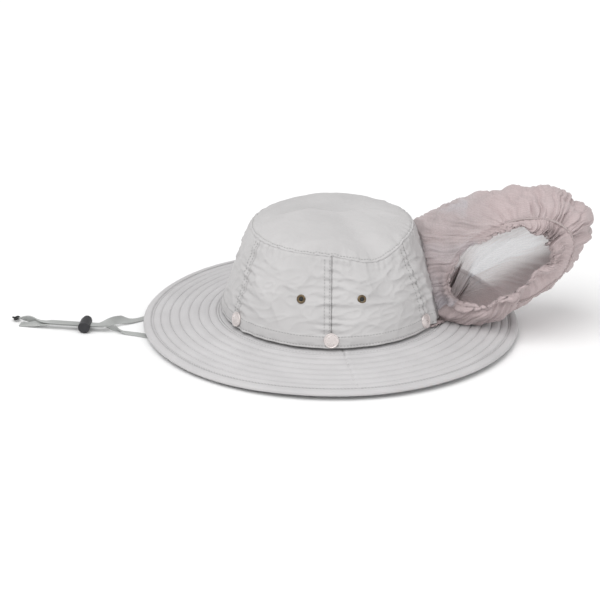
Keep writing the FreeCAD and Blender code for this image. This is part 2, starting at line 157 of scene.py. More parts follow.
def net_material(name, colour, thin_lit_colour, thinnest, densest):
    """Fine net: small cells between threads, more see-through where it lies single and denser where it is
    gathered. Its colour is painted paler and bluish where it lies single, as light showing through it, and is
    the darker mauve where it is gathered, partly painted shade.
    """
    material, tree, shader = new_material(name, colour, 0.8, **{"Sheen Weight": 0.2})
    place = add_node(tree, "ShaderNodeTexCoord")
    cells = add_node(tree, "ShaderNodeTexVoronoi", feature="DISTANCE_TO_EDGE", Scale=720.0, Randomness=0.25)
    contrast = {"From Min": 0.05, "From Max": 0.2, "To Min": 1.12, "To Max": 0.94}
    thread = add_node(tree, "ShaderNodeMapRange", **contrast)
    gather = add_node(tree, "ShaderNodeAttribute", attribute_name="gather")
    cover = add_node(tree, "ShaderNodeMapRange", **{"To Min": thinnest, "To Max": densest})
    # The colour ramp paints single net pale bluish, as light showing through it, and gathered net the darker
    # mauve, partly painted shade.
    shade = add_node(tree, "ShaderNodeValToRGB")
    thin, dense = shade.color_ramp.elements
    thin.position, dense.position = 0.1, 0.26
    thin.color, dense.color = (*thin_lit_colour, 1), (*colour, 1)
    wire(tree, gather, "Fac", shade, "Fac")
    wire(tree, shade, "Color", shader, "Base Color")
    product = add_node(tree, "ShaderNodeMath", operation="MULTIPLY", use_clamp=True)
    wire(tree, place, "Object", cells, "Vector")
    wire(tree, cells, "Distance", thread, "Value")
    wire(tree, gather, "Fac", cover, "Value")
    wire(tree, thread, "Result", product, 0)
    wire(tree, cover, "Result", product, 1)
    wire(tree, product, 0, shader, "Alpha")
    return material


def worn_material(name, colour, roughness, scale, share=0.15, **sockets):
    """Metal or plastic with faint handling marks: uneven colour and roughness."""
    material, tree, shader = new_material(name, colour, roughness, **sockets)
    place = mottled(tree, shader, colour, share, scale)
    scratch = add_node(tree, "ShaderNodeTexNoise", Scale=scale * 6, Detail=6.0)
    limits = {"To Min": roughness * 0.7, "To Max": min(1.0, roughness * 1.4)}
    spread = add_node(tree, "ShaderNodeMapRange", **limits)
    bump = add_node(tree, "ShaderNodeBump", Strength=0.15, Distance=0.0001)
    wire(tree, place, "Object", scratch, "Vector")
    wire(tree, scratch, "Fac", spread, "Value")
    wire(tree, spread, "Result", shader, "Roughness")
    wire(tree, scratch, "Fac", bump, "Height")
    wire(tree, bump, "Normal", shader, "Normal")
    return material


CROWN_GREY = (0.515, 0.505, 0.505)
BRIM_GREY = (0.53, 0.52, 0.525)
crown_cloth = cloth_material("crown_cloth", CROWN_GREY)
lining_cloth = cloth_material("lining_cloth", (0.42, 0.42, 0.41))
sweat_cloth = cloth_material("sweatband_cloth", (0.33, 0.33, 0.32), roughness=0.85)
brim_cloth = cloth_material("brim_cloth", BRIM_GREY)
foam = cloth_material("stiffener_foam", (0.75, 0.75, 0.73), roughness=0.95)
binding_cloth = cloth_material("binding_tape", (0.52, 0.51, 0.515))
tape_cloth = cloth_material("strap_tape", (0.40, 0.41, 0.40), roughness=0.6, mottle=0.12)
thread_grey = cloth_material("thread_grey", (0.37, 0.37, 0.365), roughness=0.8)
# Black for the knot's cord, also used as painted shade in the eyelets' openings.
black_cord_and_shade = cloth_material("black_cord_and_shade", (0.02, 0.02, 0.02), roughness=0.7)
# The pale bluish net colour is painted light, the light showing through single net; the mauve is the net's
# own colour, and where the net is gathered it partly stands for shade.
NET_MAUVE, NET_LIT_PALE = (0.49, 0.405, 0.405), (0.56, 0.565, 0.62)
net_cloth = net_material("net", NET_MAUVE, NET_LIT_PALE, 0.40, 0.92)
net_dense = net_material("net_gathered", NET_MAUVE, NET_LIT_PALE, 0.16, 0.9)
elastic_rubber = cloth_material("elastic", (0.62, 0.60, 0.57), roughness=0.7)
pearl_coat = {"Metallic": 0.35, "Coat Weight": 0.4}
pearl = worn_material("snap_pearl", (0.70, 0.64, 0.625), 0.28, 90.0, 0.12, **pearl_coat)
nickel = worn_material("snap_metal", (0.62, 0.61, 0.60), 0.3, 120.0, Metallic=1.0)
brass = worn_material("antique_brass", (0.16, 0.12, 0.075), 0.42, 400.0, 0.4, Metallic=0.9)
black_plastic = worn_material("black_plastic", (0.018, 0.018, 0.021), 0.42, 150.0, 0.2)
steel = worn_material("spring_steel", (0.55, 0.55, 0.56), 0.3, 300.0, Metallic=1.0)


# ---- meshes -----------------------------------------------------------------------------------
def in_scene(name, data):
    thing = bpy.data.objects.new(name, data)
    bpy.context.scene.collection.objects.link(thing)
    return thing


def make_object(name, points, faces, material):
    """A smooth-shaded mesh from points in millimetres."""
    mesh = bpy.data.meshes.new(name)
    mesh.from_pydata((np.asarray(points, float) * MM).tolist(), [], faces)
    mesh.polygons.foreach_set("use_smooth", [True] * len(mesh.polygons))
    mesh.materials.append(material)
    mesh.validate()
    mesh.update()
    return in_scene(name, mesh)


def grid_faces(rows, cols, closed, offset=0, flip=False):
    faces = []
    for i in range(rows - 1):
        for j in range(cols if closed else cols - 1):
            k = (j + 1) % cols
            a, b = offset + i * cols + j, offset + i * cols + k
            quad = (a, b, b + cols, a + cols)
            faces.append(quad[::-1] if flip else quad)
    return faces


def wall(name, outer, inner, closed, material):
    """A closed piece of cloth between two grids of points with the same rows and columns."""
    rows, cols = outer.shape[:2]
    size = rows * cols
    faces = grid_faces(rows, cols, closed) + grid_faces(rows, cols, closed, size, True)
    last = (rows - 1) * cols
    for j in range(cols if closed else cols - 1):
        k = (j + 1) % cols
        faces.append((k, j, size + j, size + k))
        faces.append((last + j, last + k, size + last + k, size + last + j))
    if not closed:
        for i in range(rows - 1):
            a, b = i * cols, (i + 1) * cols
            faces.append((a, b, size + b, size + a))
            c, d = a + cols - 1, b + cols - 1
            faces.append((d, c, size + c, size + d))
    points = np.concatenate([outer.reshape(-1, 3), inner.reshape(-1, 3)])
    return make_object(name, points, faces, material)


def round_angles(count):
    return np.linspace(0, TAU, count, endpoint=False)


def round_points(theta, radius, height):
    return np.stack([radius * np.cos(theta), radius * np.sin(theta), height + 0 * radius], axis=-1)


def unit(vectors):
    return vectors / np.linalg.norm(vectors, axis=-1)[..., None]


def rough(x, y, z=0.0):
    """Smooth noise from -1 to 1 at each place; x, y and z are arrays or numbers in noise periods."""
    x, y, z = np.broadcast_arrays(x, y, z)
    flat = [noise.noise((a, b, c)) for a, b, c in zip(x.ravel(), y.ravel(), z.ravel())]
    return np.array(flat).reshape(x.shape)


def lathe(name, outline, material, place, steps=40):
    """A turned piece: (radius, height) points round local Z, closed into a ring or at the axis."""
    angles = round_angles(steps)
    points = [(r * math.cos(a), r * math.sin(a), z) for r, z in outline for a in angles]
    rows = len(outline)
    faces = grid_faces(rows, steps, True)
    if outline[0][0] > 0.01 and outline[-1][0] > 0.01:
        top = (rows - 1) * steps
        faces += [(top + j, top + (j + 1) % steps, (j + 1) % steps, j) for j in range(steps)]
    thing = make_object(name, points, faces, material)
    merge_close(thing)
    thing.data.transform(place)
    return thing


def merge_close(thing, distance=1e-6):
    """Joins points that lie on each other, and turns every face outward."""
    work = bmesh.new()
    work.from_mesh(thing.data)
    bmesh.ops.remove_doubles(work, verts=work.verts, dist=distance)
    bmesh.ops.recalc_face_normals(work, faces=work.faces)
    work.to_mesh(thing.data)
    work.free()


def stands_for(thing, node, body="hat"):
    """Puts a piece on its body in place of a CAD node, whose part it hides."""
    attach(thing, body)
    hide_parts(node)


def outward_place(angle, radius, height, lean):
    """Local Z points out of the crown at an angle round it and up by lean; in metres."""
    spot = Vector((radius * math.cos(angle), radius * math.sin(angle), height)) * MM
    turn = Matrix.Rotation(angle, 4, "Z") @ Matrix.Rotation(math.pi / 2 - lean, 4, "Y")
    return Matrix.Translation(spot) @ turn


class Stitches:
    """Many short raised threads, collected into one mesh."""

    RINGS = ((-0.5, 0.35), (-0.3, 1.0), (0.3, 1.0), (0.5, 0.35))
    SIDES = 5

    def __init__(self):
        self.points, self.faces = [], []

    def add(self, start, end, up, thick=0.32):
        start, end = np.array(start), np.array(end)
        along = end - start
        length = np.linalg.norm(along)
        along = along / length
        up = np.array(up) - along * np.dot(up, along)
        up /= np.linalg.norm(up)
        side = np.cross(along, up)
        base = len(self.points)
        for share, wide in self.RINGS:
            middle = (start + end) / 2 + along * share * length + up * (0.18 if abs(share) < 0.4 else -0.25)
            for k in range(self.SIDES):
                a = TAU * k / self.SIDES
                self.points.append(middle + (side * math.cos(a) + up * math.sin(a)) * thick * wide)
        rings, sides = len(self.RINGS), self.SIDES
        self.faces += grid_faces(rings, sides, True, base)
        self.faces.append(tuple(base + k for k in reversed(range(sides))))
        self.faces.append(tuple(base + (rings - 1) * sides + k for k in range(sides)))

    def run(self, path, up, pitch=3.2, thick=0.32):
        """Stitches along a closed or open line of points, with the surface's normal at each point."""
        path, up = np.asarray(path), np.asarray(up)
        steps = np.linalg.norm(np.diff(path, axis=0), axis=1)
        at = np.concatenate([[0], np.cumsum(steps)])
        count = max(1, int(at[-1] / pitch))
        for k in range(count):
            low, high = at[-1] * (k + 0.12) / count, at[-1] * (k + 0.82) / count
            ends = [[np.interp(v, at, path[:, i]) for i in range(3)] for v in (low, high)]
            normal = [np.interp((low + high) / 2, at, up[:, i]) for i in range(3)]
            self.add(ends[0], ends[1], normal, thick)

    def build(self, name):
        made = make_object(name, self.points, self.faces, thread_grey)
        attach(made, "hat")


# ---- the crown's surface ----------------------------------------------------------------------
def seam_distance(theta):
    """The signed angle to the nearest seam."""
    gaps = np.stack([(theta - s + math.pi) % TAU - math.pi for s in SEAMS])
    nearest = np.abs(gaps).argmin(axis=0)
    return np.take_along_axis(gaps, nearest[None], axis=0)[0]


def crown_profile(z):
    knots = np.linspace(CROWN_HEIGHTS[0], CROWN_HEIGHTS[-1], 200)
    smooth = np.interp(knots, CROWN_HEIGHTS, CROWN_RADII)
    for _ in range(60):
        smooth[1:-1] = (smooth[:-2] + smooth[1:-1] + smooth[2:]) / 3
    return np.interp(z, knots, smooth)


def angle_from(theta, degrees):
    """The signed angle from a direction given in degrees."""
    return (theta - math.radians(degrees) + math.pi) % TAU - math.pi


def sag(theta):
    """How far the seam round the top lies above or below its plain height: the crown slumps on one side."""
    slump = 12.0 * np.exp(-(angle_from(theta, 303) / 0.42) ** 2)
    return 4.0 + 1.5 * np.cos(angle_from(theta, 0)) - slump


def raised(theta, z):
    """The height of a point of the side cloth once the top seam has sagged."""
    return z + sag(theta) * np.clip(z / SEAM_Z, 0, 1) ** 2


def crown_radius(theta, z):
    """The outside of the crown's cloth: its profile with seams, puckers, folds and stitched hem."""
    theta, z = np.broadcast_arrays(np.asarray(theta, float), np.asarray(z, float))
    radius = crown_profile(z)
    near = seam_distance(theta) * radius
    mid = np.clip((z - 8) / 22, 0, 1) * np.clip((SEAM_Z - z) / 16, 0, 1)
    x, y = np.cos(theta) * 2.0, np.sin(theta) * 2.0
    slack = 2.6 * rough(x * 1.1 + 3, y * 1.1, z / 46.0) * (0.35 + 0.65 * mid)
    slack += 3.2 * np.exp(-(angle_from(theta, -12) / 0.3) ** 2) * np.exp(-((z - 34) / 26.0) ** 2)
    crease = 1 - np.abs(rough(x * 1.5 + 9, y * 1.5, z / 17.0 + theta * 1.6))
    slack += 1.5 * (crease ** 7 - 0.25) * mid
    fine = 1 - np.abs(rough(x * 2.6, y * 2.6 + 5, z / 7.0 - theta * 2.2))
    slack += 0.8 * (fine ** 6 - 0.3) * (0.4 + 0.6 * mid)
    reach = 13 + 9 * rough(z / 12.0, x * 2, y * 2)
    swing = z * TAU / 7.5 + 2.6 * rough(z / 11.0, x, y) + near * 0.05
    pucker = np.exp(-(near / reach) ** 2) * np.sin(swing) * (1.1 + 0.8 * rough(z / 16.0, x + 4, y))
    slack += 0.75 * pucker * np.clip((SEAM_Z - z) / 8, 0, 1) * np.clip((z - 9) / 6, 0.25, 1)
    seam = -1.1 * np.exp(-(near / 0.9) ** 2) + 0.35 * np.clip(1 - np.abs(near + 4) / 4.2, 0, 0.35) / 0.35
    for row in SEAM_ROWS:
        seam -= 0.22 * np.exp(-((near - row) / 0.7) ** 2)
    top = SEAM_Z - z
    slack += 1.5 * (np.exp(-(top / 10.0) ** 2) * rough(x * 9.0, y * 9.0, z / 20.0))
    hem = 0.45 * np.clip((12.2 - z) / 0.9, 0, 1)
    for row in HEM_STITCHES:
        hem -= 0.3 * np.exp(-((z - row) / 0.7) ** 2)
    hem += 0.8 * rough(x * 5.5, y * 5.5, z / 9.0) * np.exp(-(z / 11.0) ** 2)
    away = angle_from(theta, -21)
    folds = 2.4 * np.exp(-(away / 0.12) ** 2) * np.cos(away * 46 + 0.03 * z) * np.exp(-(z / 32.0) ** 2)
    other = angle_from(theta, -142)
    folds += 1.0 * np.exp(-(other / 0.14) ** 2) * np.cos(other * 36) * np.exp(-(z / 22.0) ** 2)
    rolled = -0.9 * np.clip(1 - top / 2.0, 0, 1) ** 2
    return radius + slack + seam + hem + folds + rolled


def crown_grid(low, high, cols, heights, inward=0.0):
    thetas = np.linspace(low, high, cols)
    grid_theta, grid_z = np.meshgrid(thetas, heights)
    return round_points(grid_theta, crown_radius(grid_theta, grid_z) - inward, raised(grid_theta, grid_z))


def make_crown():
    heights = np.concatenate([np.linspace(HEM_Z, 13, 22), np.linspace(14, SEAM_Z, 62)])
    for name, middle in (("back", 0), ("back_right", 60), ("front_right", 120),
                         ("front", 180), ("front_left", 240), ("back_left", 300)):
        low, high = (math.radians(middle + side * 29.93) for side in (-1, 1))
        outer = crown_grid(low, high, 96, heights)
        inner = crown_grid(low, high, 96, heights, 1.0)
        panel = wall(f"panel_{name}", outer, inner, False, crown_cloth)
        stands_for(panel, f"crown_panel_{name}")


def tip_height(radius, theta):
    """The upper face of the round top, slack and puffed up between its stitched edge."""
    share = np.clip(radius / SEAM_R, 0, 1)
    x, y = radius * np.cos(theta), radius * np.sin(theta)
    height = SEAM_Z + 0.5 + sag(theta) * share ** 1.6 + (TIP_RISE + 3.5) * (1 - share ** 3.0)
    loose = 1 - share ** 6
    height = height + 2.2 * rough(x / 46.0 + 4, y / 46.0) * loose
    ridge = 1 - np.abs(rough(x / 38.0 + 1.5, y / 60.0 + 7))
    height += 1.6 * (ridge ** 6 - 0.3) * loose
    crumple = 1 - np.abs(rough(x / 17.0 + 3, y / 13.0))
    height += 0.5 * (crumple ** 5 - 0.3) * (0.4 + 0.6 * np.clip(x / 60, 0, 1))
    edge = np.exp(-((SEAM_R - radius) / 8.0) ** 2)
    height += 1.6 * edge * rough(np.cos(theta) * 17.0, np.sin(theta) * 17.0, radius / 30.0)
    height -= 0.5 * np.exp(-((SEAM_R - radius - SEAM_STITCH) / 0.9) ** 2)
    return height


def make_tip():
    radii = np.concatenate([np.linspace(0.2, 62, 44), np.linspace(63, SEAM_R - 0.4, 30)])
    thetas = round_angles(300)
    grid_theta, grid_r = np.meshgrid(thetas, radii)
    z = tip_height(grid_r, grid_theta)
    outer = round_points(grid_theta, grid_r, z)
    lip_r = crown_radius(thetas, np.full_like(thetas, SEAM_Z - 0.6)) + 0.1
    lip_z = SEAM_Z + sag(thetas)
    lip = round_points(thetas, lip_r, lip_z - 0.2)
    outer = np.concatenate([outer, lip[None]])
    inner = outer.copy()
    inner[..., 2] -= 1.0
    inner[-1] = round_points(thetas, lip_r - 1.0, lip_z - 1.0)
    tip = wall("tip_cloth", outer[::-1], inner[::-1], True, crown_cloth)
    merge_close(tip)
    stands_for(tip, "crown_tip")


def crown_line(thetas, heights):
    """Points just outside the crown's cloth, and the way out of it there."""
    thetas, heights = np.broadcast_arrays(np.asarray(thetas, float), np.asarray(heights, float))
    path = round_points(thetas, crown_radius(thetas, heights) + 0.05, raised(thetas, heights))
    return path, round_points(thetas, np.ones_like(thetas), np.full_like(thetas, 0.3))


def make_crown_stitches():
    rows = Stitches()
    ring = np.linspace(0, TAU, 400)
    for z in HEM_STITCHES:
        rows.run(*crown_line(ring, z), pitch=3.0)
    for seam in SEAMS:
        heights = np.linspace(12.5, SEAM_Z - 2, 50)
        for row in SEAM_ROWS:
            rows.run(*crown_line(seam + row / crown_profile(heights), heights), pitch=3.0)
    radius = np.full_like(ring, SEAM_R - SEAM_STITCH)
    path = round_points(ring, radius, tip_height(radius, ring) + 0.05)
    rows.run(path, np.tile([0, 0, 1.0], (len(ring), 1)), pitch=3.0, thick=0.26)
    rows.build("crown_stitches")


def make_inside():
    """The crown lining behind the veil's pocket, and the sweatband."""
    thetas = round_angles(240)
    grid_theta, grid_z = np.meshgrid(thetas, np.linspace(LINING_HEIGHTS[0], LINING_HEIGHTS[-1], 50))
    radius = np.interp(grid_z, LINING_HEIGHTS, LINING_RADII)
    radius = radius + 0.35 * rough(grid_theta * 5.0, grid_z / 18.0) * np.clip(grid_z / 10, 0, 1)
    outer, inner = (round_points(grid_theta, radius - inward, grid_z) for inward in (0.0, 0.9))
    lining = wall("lining", outer, inner, True, lining_cloth)
    heights = np.concatenate([[0.0, 0.5], np.linspace(1.5, 20.5, 18), [21.4, 21.9]])
    grid_theta, grid_z = np.meshgrid(thetas, heights)
    rounded = 0.3 * np.clip(1 - (22 - grid_z) / 1.5, 0, 1)
    radius = HEAD_R + 0.22 * rough(grid_theta * 14.0, grid_z / 9.0) - rounded
    outer, inner = (round_points(grid_theta, radius - inward, grid_z) for inward in (0.0, 1.0))
    band = wall("sweatband_tape", outer, inner, True, sweat_cloth)
    merge_close(lining)
    stands_for(lining, "crown_lining")
    merge_close(band)
    stands_for(band, "sweatband")


# ---- the brim ---------------------------------------------------------------------------------
# Where the brim curls up: the direction in degrees, and by how many millimetres at the rim.
BRIM_CURLS = ((52, 8.0), (128, 3.0), (268, 3.2))


def brim_wave(radius, theta):
    """How far the soft brim lifts above a plain cone: a gentle wave and its curls."""
    reach = np.clip((radius - 100) / 75, 0, 1)
    wave = 1.1 + 1.1 * np.cos(2 * theta + 0.5) + 0.7 * np.cos(3 * theta + 2.0)
    wave = wave + 0.8 * rough(np.cos(theta) * 1.6, np.sin(theta) * 1.6)
    curl = sum(up * np.exp(-(angle_from(theta, at) / 0.55) ** 2) for at, up in BRIM_CURLS)
    return reach ** 1.4 * (wave + curl)


def brim_cone(radius):
    return BRIM_TOP_Z - BRIM_DROP * (radius - BRIM_INNER_R) / (BRIM_R - BRIM_INNER_R)


def brim_top_z(radius, theta):
    radius, theta = np.broadcast_arrays(np.asarray(radius, float), np.asarray(theta, float))
    height = brim_cone(radius) + brim_wave(radius, theta)
    rings = np.array(sorted(STITCH_RINGS))
    for low, high in zip(rings[:-1], rings[1:]):
        share = np.clip((radius - low) / (high - low), 0, 1)
        puff = min(1.1, 0.125 * (high - low))
        height = height + puff * np.sin(math.pi * share) ** 0.6 * (share > 0) * (share < 1)
    for ring in rings:
        height = height - 0.45 * np.exp(-((radius - ring) / 0.6) ** 2)
    height += 0.16 * rough(radius / 4.0, theta * 40.0) * np.clip((170 - radius) / 5, 0, 1)
    for seam in (math.radians(-83), math.radians(97)):
        away = ((theta - seam - 0.0006 * (radius - 120) + math.pi) % TAU - math.pi) * radius
        height = height - 1.1 * np.exp(-(away / 1.0) ** 2) + 0.5 * np.exp(-((away - 3) / 2.2) ** 2)
    return height


def make_brim():
    spread = (-4.4, -2.8, -1.4, -0.8, -0.4, 0.0, 0.4, 0.8, 1.4)
    radii = {BRIM_INNER_R + 0.2, 94.0, 96.0, 98.0, 100.0, 102.0, BRIM_R - 0.3}
    for ring in STITCH_RINGS:
        radii.update(ring + step for step in spread)
    radii = np.array(sorted(r for r in radii if BRIM_INNER_R < r < BRIM_R))
    thetas = round_angles(600)
    grid_theta, grid_r = np.meshgrid(thetas, radii)
    top = brim_top_z(grid_r, grid_theta)
    base = brim_cone(grid_r) + brim_wave(grid_r, grid_theta)
    faces = {"top": top, "middle": base - 1.15, "low": base - 2.1, "under": base - 3.15 + (base - top) * 0.7}
    grids = {key: round_points(grid_theta, grid_r, z) for key, z in faces.items()}
    for name, upper, lower, node, cloth, slot in (
        ("brim_upper_cloth", "top", "middle", "brim_top", brim_cloth, "brim_cloth"),
        ("brim_foam", "middle", "low", "brim_stiffener", foam, "stiffener_foam"),
        ("brim_under_cloth", "low", "under", "brim_bottom", brim_cloth, "brim_cloth"),
    ):
        upper_grid, lower_grid = grids[upper].copy(), grids[lower].copy()
        if upper != "top":
            upper_grid[..., 2] -= 0.1
        thing = wall(name, upper_grid, lower_grid, True, cloth)
        merge_close(thing)
        stands_for(thing, node)


def make_binding():
    """Tape folded round the rim, a closed ring of cloth with a rounded edge."""
    thetas = round_angles(600)
    base = brim_cone(BRIM_R) + brim_wave(np.array(BRIM_R), thetas)
    rows = []
    slope = BRIM_DROP / (BRIM_R - BRIM_INNER_R)
    middle = -1.6
    section = [(-6.9, 1.9), (-4.5, 2.35), (-2.0, 2.3), (-0.4, 1.9), (0.5, 1.0), (0.8, 0.0),
               (0.5, -1.0), (-0.4, -1.9), (-2.0, -2.3), (-4.5, -2.35), (-6.9, -2.1)]
    inner = [(-6.9, -1.55), (-4.5, -1.65), (-1.0, -1.5), (-0.6, 0.0),
             (-1.0, 1.5), (-4.5, 1.55), (-6.9, 1.4)]
    for out, up in section + inner:
        pucker = 0.16 * rough(thetas * 46.0, out / 3.0, up)
        radius = BRIM_R + out + pucker * (1 if abs(up) < 1.2 else 0.4)
        height = base + middle - out * slope + up + pucker * np.sign(up)
        rows.append(round_points(thetas, radius, height))
    grid = np.array(rows + rows[:1])
    tape = make_object("binding", grid.reshape(-1, 3), grid_faces(*grid.shape[:2], True), binding_cloth)
    merge_close(tape)
    stands_for(tape, "brim_binding")


def make_brim_stitches():
    rows = Stitches()
    ring = np.linspace(0, TAU, 720)
    for radius in STITCH_RINGS:
        around = np.full_like(ring, radius)
        lift = 0.95 if radius > 167.5 else 0.0
        path = round_points(ring, around, brim_top_z(around, ring) + lift)
        rows.run(path, np.tile([0, 0, 1.0], (len(ring), 1)), pitch=3.2, thick=0.27)
    rows.build("brim_stitches")


# ---- fasteners --------------------------------------------------------------------------------
def crown_place(angle, height, low, high, radius=None):
    """A place square to the plain crown between two of its corners, at an angle and a height."""
    run, rise = low[0] - high[0], high[1] - low[1]
    if radius is None:
        radius = low[0] - run * (height - low[1]) / rise
    return outward_place(angle, radius, height, math.atan2(run, rise))


def make_snaps():
    """Outlines are (radius, height) points on the snap's own axis."""
    cap = [(0.0, 2.35), (2.5, 2.3), (4.4, 2.1), (5.3, 1.8), (5.6, 1.7), (5.9, 1.85), (6.4, 2.15),
           (6.8, 1.95), (7.0, 1.4), (6.9, 0.7), (6.5, 0.35), (3.0, 0.3), (3.0, -0.2), (5.8, -0.25),
           (5.8, -2.7), (2.3, -2.8), (2.2, -0.9), (0.0, -0.85)]
    stud = [(0.0, -1.6), (1.6, -1.62), (1.9, -1.9), (1.9, -2.2), (1.5, -3.3), (5.0, -3.35),
            (5.2, -3.6), (5.1, -4.0), (0.0, -4.0)]
    names = ("back_right", "right", "front_right", "front_left", "left", "back_left")
    for name, seam in zip(names, SEAMS):
        place = crown_place(seam, SNAP_Z, CROWN_FOOT, CROWN_KNEE)
        button = lathe(f"snap_{name}", cap, pearl, place, 48)
        stands_for(button, f"snap_cap_{name}", f"snap_{name}")
        post = lathe(f"stud_{name}", stud, nickel, place, 32)
        stands_for(post, f"snap_stud_{name}")


def make_eyelets():
    """Outlines are (radius, height) points on the eyelet's own axis."""
    eyelet = [(1.85, 0.35), (2.15, 0.85), (2.7, 1.15), (3.4, 1.1), (4.0, 0.75), (4.3, 0.25),
              (4.1, 0.05), (2.5, -0.1), (2.5, -2.2), (1.85, -2.3)]
    washer = [(2.6, -1.6), (4.1, -1.6), (4.3, -1.9), (4.1, -2.2), (2.6, -2.2)]
    # This outline makes a solid black disc in the eyelet's opening: painted shade, standing in for the shaded
    # inside of the crown seen through it.
    shade_disc_outline = [(0.0, 0.72), (1.9, 0.7), (1.9, -0.3), (0.0, -0.3)]
    corners = (("front_left", 270, -1), ("back_left", 270, 1), ("back_right", 90, -1), ("front_right", 90, 1))
    for name, seam, way in corners:
        angle = math.radians(seam + way * EYELET_ANGLE)
        unsagged = EYELET_Z - sag(angle) * (EYELET_Z / SEAM_Z) ** 2
        radius = float(crown_radius(angle, unsagged)) - 0.2
        place = crown_place(angle, EYELET_Z, CROWN_KNEE, CROWN_TOP, radius)
        ring = lathe(f"eyelet_ring_{name}", eyelet, brass, place, 36)
        stands_for(ring, f"eyelet_{name}")
        backing = lathe(f"washer_ring_{name}", washer, brass, place, 36)
        stands_for(backing, f"eyelet_washer_{name}")
        # The black disc is painted shade in the eyelet's opening.
        shade_disc = lathe(f"eyelet_painted_shade_{name}", shade_disc_outline, black_cord_and_shade, place, 24)
        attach(shade_disc, "hat")


# ---- chin strap -------------------------------------------------------------------------------
LOCK = Vector((-229.0, -9.6, FLOOR_Z + 5.5))
LOCK_YAW = math.radians(-8)
STRAP_WAY = Vector((-math.cos(LOCK_YAW), -math.sin(LOCK_YAW), 0))
LOCK_RUN = (-16.0, -9.0, 28.0, 35.0)
LOCK_FOOT_TO_SLOT = 8.8
ON_FLOOR = FLOOR_Z + 0.5
ROUTE_STEP = 1.2


def strap_route(side):
    """The same points as the CAD strap has."""
    above = Vector((0, 0, 0.65))
    through = [LOCK + STRAP_WAY * run for run in LOCK_RUN]
    if side < 0:
        return [(-27.4, -98, -7.8), (-46, -99, -10.0), (-66, -97, -14.5), (-88, -84, -19.2),
                (-114, -66, ON_FLOOR), (-143, -46, ON_FLOOR), (-170, -23.5, ON_FLOOR),
                (-198, -14.5, ON_FLOOR), *[spot - above for spot in through],
                (-278, -1.5, ON_FLOOR + 0.6), (-290.5, 2.0, ON_FLOOR)]
    return [(-27.4, 98, -7.8), (-46, 99, -10.0), (-66, 97, -14.5), (-89, 86, -19.2),
            (-112, 70, ON_FLOOR), (-136, 49, ON_FLOOR), (-160, 30, ON_FLOOR), (-182, 14, ON_FLOOR),
            (-200, 0.5, ON_FLOOR + 3.2), *[spot + above for spot in through],
            (-278, 2.5, ON_FLOOR + 2.0), (-290.5, 8.5, ON_FLOOR + 1.6)]


def spline_points(route):
    """Even steps along the clamped quadratic NURBS curve of a route, and its length."""
    data = bpy.data.curves.new("route", "CURVE")
    data.dimensions = "3D"
    data.resolution_u = 14
    spline = data.splines.new("NURBS")
    spline.points.add(len(route) - 1)
    for point, spot in zip(spline.points, route):
        point.co = (*[c for c in spot], 1)
    spline.order_u = 3
    spline.use_endpoint_u = True
    thing = in_scene("route", data)
    bpy.context.view_layer.update()
    mesh = thing.evaluated_get(bpy.context.evaluated_depsgraph_get()).to_mesh()
    found = np.array([v.co[:] for v in mesh.vertices])
    bpy.data.objects.remove(thing)
    bpy.data.curves.remove(data)
    steps = np.concatenate([[0], np.cumsum(np.linalg.norm(np.diff(found, axis=0), axis=1))])
    at = np.arange(0, steps[-1], ROUTE_STEP)
    return np.stack([np.interp(at, steps, found[:, k]) for k in range(3)], axis=1), float(steps[-1])


# Where each leg turns on edge: the distance past the lock, how far the turn reaches, and its angle.
STRAP_TWISTS = {-1: ((-27, 7.5, 1.15), (46, 8, -0.4)), 1: ((-28, 8, -1.2), (53, 11, 1.15))}


def make_strap_leg(name, side):
    """A flat woven tape with thick selvedges, which lies straight at the lock and turns on edge beyond it."""
    path, length = spline_points(strap_route(side))
    count = len(path)
    ahead = unit(np.gradient(path, axis=0))
    flat = unit(np.cross([0, 0, 1.0], ahead))
    rise = np.cross(ahead, flat)
    along = np.arange(count) * ROUTE_STEP
    run = (path - np.array(LOCK)) @ np.array(STRAP_WAY)
    twist = sum(turn * np.exp(-((run - at) / reach) ** 2) for at, reach, turn in STRAP_TWISTS[side])
    width = 3.95 + 0.15 * np.sin(along / 21.0)
    cols = np.array([-1, -0.92, -0.8, -0.5, -0.15, 0.2, 0.55, 0.82, 0.93, 1])
    thick = np.array([0.25, 0.5, 0.42, 0.36, 0.42, 0.36, 0.4, 0.42, 0.5, 0.25])
    turned = flat * np.cos(twist)[:, None] + rise * np.sin(twist)[:, None]
    up = rise * np.cos(twist)[:, None] - flat * np.sin(twist)[:, None]
    loose = np.clip((np.abs(run - 9.5) - 23) / 8, 0, 1) * np.clip((along - 150) / 25, 0, 1)
    cup = (0.8 * loose * np.sin(along / 17.0 + side))[:, None] * (cols[None] ** 2 - 0.4)
    lift = np.abs(np.sin(twist)) * width * 0.96
    grids = []
    for way in (1, -1):
        sheet = path[:, None] + turned[:, None] * (cols[None, :, None] * width[:, None, None])
        sheet = sheet + up[:, None] * ((cup + way * thick[None])[..., None])
        rib = 0.07 * way * np.sin(along * 5.2)[:, None, None] * up[:, None]
        grids.append(sheet + rib)
    for grid in grids:
        grid[..., 2] += lift[:, None] * 0.75
        grid[..., 2] = np.maximum(grid[..., 2], FLOOR_Z + (0.75 if grid is grids[0] else 0.05))
    leg = wall(name, grids[0], grids[1], False, tape_cloth)
    merge_close(leg)
    return leg, path, length


def make_strap():
    barrel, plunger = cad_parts["cord_lock_barrel"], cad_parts["cord_lock_plunger"]
    for node in (barrel, plunger):
        node.data.materials.clear()
        node.data.materials.append(black_plastic)
    spring = make_spring()
    knot = make_knot()
    for name, side in (("left", -1), ("right", 1)):
        leg, path, length = make_strap_leg(f"strap_{name}", side)
        stands_for(leg, f"strap_leg_{name}")
    make_tabs()


